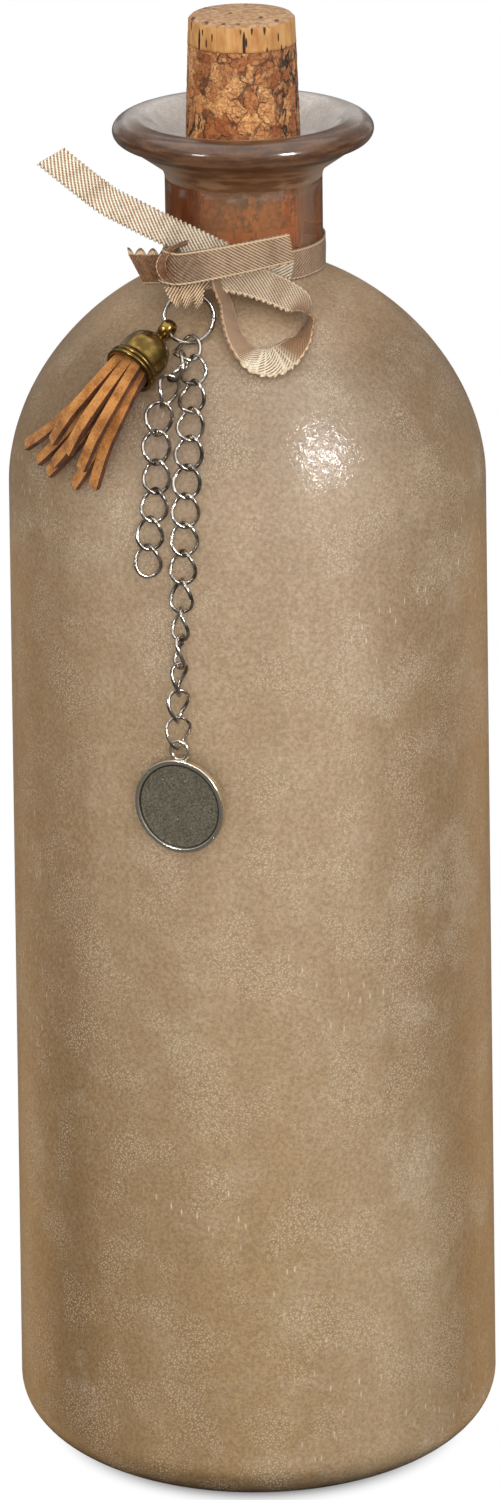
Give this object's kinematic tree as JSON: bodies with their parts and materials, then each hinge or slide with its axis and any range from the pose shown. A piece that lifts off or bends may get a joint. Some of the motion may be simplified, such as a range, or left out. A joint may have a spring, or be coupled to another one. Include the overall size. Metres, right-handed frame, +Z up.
{
  "type": "bottle vase",
  "caption": "Tall round bottle vase of frosted glass with a flared lip and tapered cork, its neck tied with ribbon carrying a suede tassel and curb chains with a round charm.",
  "frame": {"origin": "middle of the bottle's flat foot", "axes": "+Z up along the bottle's axis, -Y towards the side the tassel and the chains hang on, +X to the right seen from there"},
  "size_m": [0.1042, 0.1087, 0.3147],
  "materials": {
    "frosted_glass": "frosted, taupe brown, faintly speckled",
    "whole_cork": "whole cork with dark pores",
    "grain_cork": "pressed cork grains",
    "satin_ribbon": "woven satin ribbon with looped edges",
    "silver_wire": "polished silver-coloured wire",
    "old_bronze": "antique bronze, polished on the high places",
    "tan_suede": "tan suede",
    "old_pewter": "antique pewter, polished rim"
  },
  "bodies": {
    "bottle": {"glass_bottle": "frosted_glass", "ribbon_neck_band": "satin_ribbon", "ribbon_knot": "satin_ribbon", "ribbon_long_tail": "satin_ribbon", "ribbon_short_tail": "satin_ribbon", "ribbon_bow_fold": "satin_ribbon", "ribbon_hanging_loop": "satin_ribbon", "ribbon_tie_fold": "satin_ribbon"},
    "stopper": {"cork_lower_disc": "whole_cork", "cork_body": "grain_cork", "cork_upper_disc": "whole_cork"},
    "jump_ring": {"jump_ring": "silver_wire"},
    "tassel": {"tassel_cap": "old_bronze", "suede_strip_1": "tan_suede", "suede_strip_2": "tan_suede", "suede_strip_3": "tan_suede", "suede_strip_4": "tan_suede", "suede_strip_5": "tan_suede", "suede_strip_6": "tan_suede", "suede_strip_7": "tan_suede", "suede_strip_8": "tan_suede", "suede_strip_9": "tan_suede"},
    "long_link_01": {"long_strand_link_01": "silver_wire"},
    "long_link_02": {"long_strand_link_02": "silver_wire"},
    "long_link_03": {"long_strand_link_03": "silver_wire"},
    "long_link_04": {"long_strand_link_04": "silver_wire"},
    "long_link_05": {"long_strand_link_05": "silver_wire"},
    "long_link_06": {"long_strand_link_06": "silver_wire"},
    "long_link_07": {"long_strand_link_07": "silver_wire"},
    "long_link_08": {"long_strand_link_08": "silver_wire"},
    "long_link_09": {"long_strand_link_09": "silver_wire"},
    "long_link_10": {"long_strand_link_10": "silver_wire"},
    "long_link_11": {"long_strand_link_11": "silver_wire"},
    "long_link_12": {"long_strand_link_12": "silver_wire"},
    "long_link_13": {"long_strand_link_13": "silver_wire"},
    "long_link_14": {"long_strand_link_14": "silver_wire"},
    "long_link_15": {"long_strand_link_15": "silver_wire"},
    "short_link_01": {"short_strand_link_01": "silver_wire"},
    "short_link_02": {"short_strand_link_02": "silver_wire"},
    "short_link_03": {"short_strand_link_03": "silver_wire"},
    "short_link_04": {"short_strand_link_04": "silver_wire"},
    "short_link_05": {"short_strand_link_05": "silver_wire"},
    "short_link_06": {"short_strand_link_06": "silver_wire"},
    "short_link_07": {"short_strand_link_07": "silver_wire"},
    "short_link_08": {"short_strand_link_08": "silver_wire"},
    "charm": {"charm": "old_pewter"}
  },
  "joints": [
    {"name": "stopper_lift", "type": "slide", "parent": "bottle", "child": "stopper", "axis": [0, 0, 1], "range_m": [0, 0.06]},
    {"name": "jump_ring_swing", "type": "hinge", "parent": "bottle", "child": "jump_ring", "pos_m": [-0.0115, -0.02541, 0.26291], "axis": [-1, 0, 0], "range_deg": [0, 35]},
    {"name": "tassel_swing", "type": "hinge", "parent": "jump_ring", "child": "tassel", "pos_m": [-0.016, -0.02798, 0.25587], "axis": [-0.7825, 0.6135, 0.106], "range_deg": [0, 45]},
    {"name": "long_link_01_swing", "type": "hinge", "parent": "jump_ring", "child": "long_link_01", "pos_m": [-0.0115, -0.02891, 0.25333], "axis": [-0.9661, 0.0728, -0.2478], "range_deg": [0, 18]},
    {"name": "long_link_02_swing", "type": "hinge", "parent": "long_link_01", "child": "long_link_02", "pos_m": [-0.01129, -0.03354, 0.25117], "axis": [0.9734, -0.0852, 0.2125], "range_deg": [-12, 0]},
    {"name": "long_link_03_swing", "type": "hinge", "parent": "long_link_02", "child": "long_link_03", "pos_m": [-0.01085, -0.03787, 0.24741], "axis": [-0.9726, 0.2154, -0.0876], "range_deg": [0, 25]},
    {"name": "long_link_04_swing", "type": "hinge", "parent": "long_link_03", "child": "long_link_04", "pos_m": [-0.01121, -0.04138, 0.24275], "axis": [0.9708, -0.2323, 0.0602], "range_deg": [-25, 0]},
    {"name": "long_link_05_swing", "type": "hinge", "parent": "long_link_04", "child": "long_link_05", "pos_m": [-0.01158, -0.04426, 0.23767], "axis": [-0.9689, 0.2454, -0.0322], "range_deg": [0, 25]},
    {"name": "long_link_06_swing", "type": "hinge", "parent": "long_link_05", "child": "long_link_06", "pos_m": [-0.01202, -0.04667, 0.23235], "axis": [0.9673, -0.2533, 0.0155], "range_deg": [-25, 0]},
    {"name": "long_link_07_swing", "type": "hinge", "parent": "long_link_06", "child": "long_link_07", "pos_m": [-0.01243, -0.04857, 0.22683], "axis": [-0.9666, 0.2564, -0.0009], "range_deg": [0, 25]},
    {"name": "long_link_08_swing", "type": "hinge", "parent": "long_link_07", "child": "long_link_08", "pos_m": [-0.01273, -0.04974, 0.22111], "axis": [0.9653, -0.2597, -0.0272], "range_deg": [-25, 0]},
    {"name": "long_link_09_swing", "type": "hinge", "parent": "long_link_08", "child": "long_link_09", "pos_m": [-0.01306, -0.05036, 0.2153], "axis": [-0.9635, 0.2649, 0.039], "range_deg": [0, 25]},
    {"name": "long_link_10_swing", "type": "hinge", "parent": "long_link_09", "child": "long_link_10", "pos_m": [-0.01343, -0.05083, 0.20947], "axis": [0.9618, -0.2719, -0.0322], "range_deg": [-25, 0]},
    {"name": "long_link_11_swing", "type": "hinge", "parent": "long_link_10", "child": "long_link_11", "pos_m": [-0.01377, -0.05135, 0.20364], "axis": [-0.9602, 0.2779, 0.0272], "range_deg": [0, 25]},
    {"name": "long_link_12_swing", "type": "hinge", "parent": "long_link_11", "child": "long_link_12", "pos_m": [-0.01406, -0.05179, 0.19781], "axis": [0.9586, -0.2828, -0.0332], "range_deg": [-25, 0]},
    {"name": "long_link_13_swing", "type": "hinge", "parent": "long_link_12", "child": "long_link_13", "pos_m": [-0.01433, -0.05201, 0.19196], "axis": [-0.9569, 0.2879, 0.0394], "range_deg": [0, 25]},
    {"name": "long_link_14_swing", "type": "hinge", "parent": "long_link_13", "child": "long_link_14", "pos_m": [-0.01456, -0.05197, 0.1861], "axis": [0.9559, -0.2912, -0.0373], "range_deg": [-25, 0]},
    {"name": "long_link_15_swing", "type": "hinge", "parent": "long_link_14", "child": "long_link_15", "pos_m": [-0.01472, -0.05176, 0.18025], "axis": [-0.9553, 0.2937, 0.0347], "range_deg": [0, 25]},
    {"name": "short_link_01_swing", "type": "hinge", "parent": "long_link_01", "child": "short_link_01", "pos_m": [-0.01307, -0.03352, 0.25203], "axis": [0.9111, -0.4122, -0.0005], "range_deg": [-25, 0]},
    {"name": "short_link_02_swing", "type": "hinge", "parent": "short_link_01", "child": "short_link_02", "pos_m": [-0.01487, -0.03751, 0.24823], "axis": [-0.8705, 0.4865, 0.0738], "range_deg": [0, 25]},
    {"name": "short_link_03_swing", "type": "hinge", "parent": "short_link_02", "child": "short_link_03", "pos_m": [-0.01694, -0.04052, 0.24369], "axis": [0.9013, -0.4331, -0.002], "range_deg": [-25, 0]},
    {"name": "short_link_04_swing", "type": "hinge", "parent": "short_link_03", "child": "short_link_04", "pos_m": [-0.0181, -0.04291, 0.23851], "axis": [-0.9256, 0.3689, -0.0842], "range_deg": [0, 25]},
    {"name": "short_link_05_swing", "type": "hinge", "parent": "short_link_04", "child": "short_link_05", "pos_m": [-0.01837, -0.04484, 0.233], "axis": [0.9283, -0.3668, 0.0615], "range_deg": [-25, 0]},
    {"name": "short_link_06_swing", "type": "hinge", "parent": "short_link_05", "child": "short_link_06", "pos_m": [-0.01862, -0.04643, 0.22737], "axis": [-0.9171, 0.3959, 0.0472], "range_deg": [0, 25]},
    {"name": "short_link_07_swing", "type": "hinge", "parent": "short_link_06", "child": "short_link_07", "pos_m": [-0.01936, -0.04747, 0.22167], "axis": [0.9102, -0.4035, -0.0928], "range_deg": [-25, 0]},
    {"name": "short_link_08_swing", "type": "hinge", "parent": "short_link_07", "child": "short_link_08", "pos_m": [-0.02008, -0.04774, 0.21588], "axis": [-0.911, 0.4055, 0.0748], "range_deg": [0, 25]},
    {"name": "charm_swing", "type": "hinge", "parent": "long_link_15", "child": "charm", "pos_m": [-0.01468, -0.05126, 0.17449], "axis": [-1, 0, 0], "range_deg": [0, 22]}
  ]
}
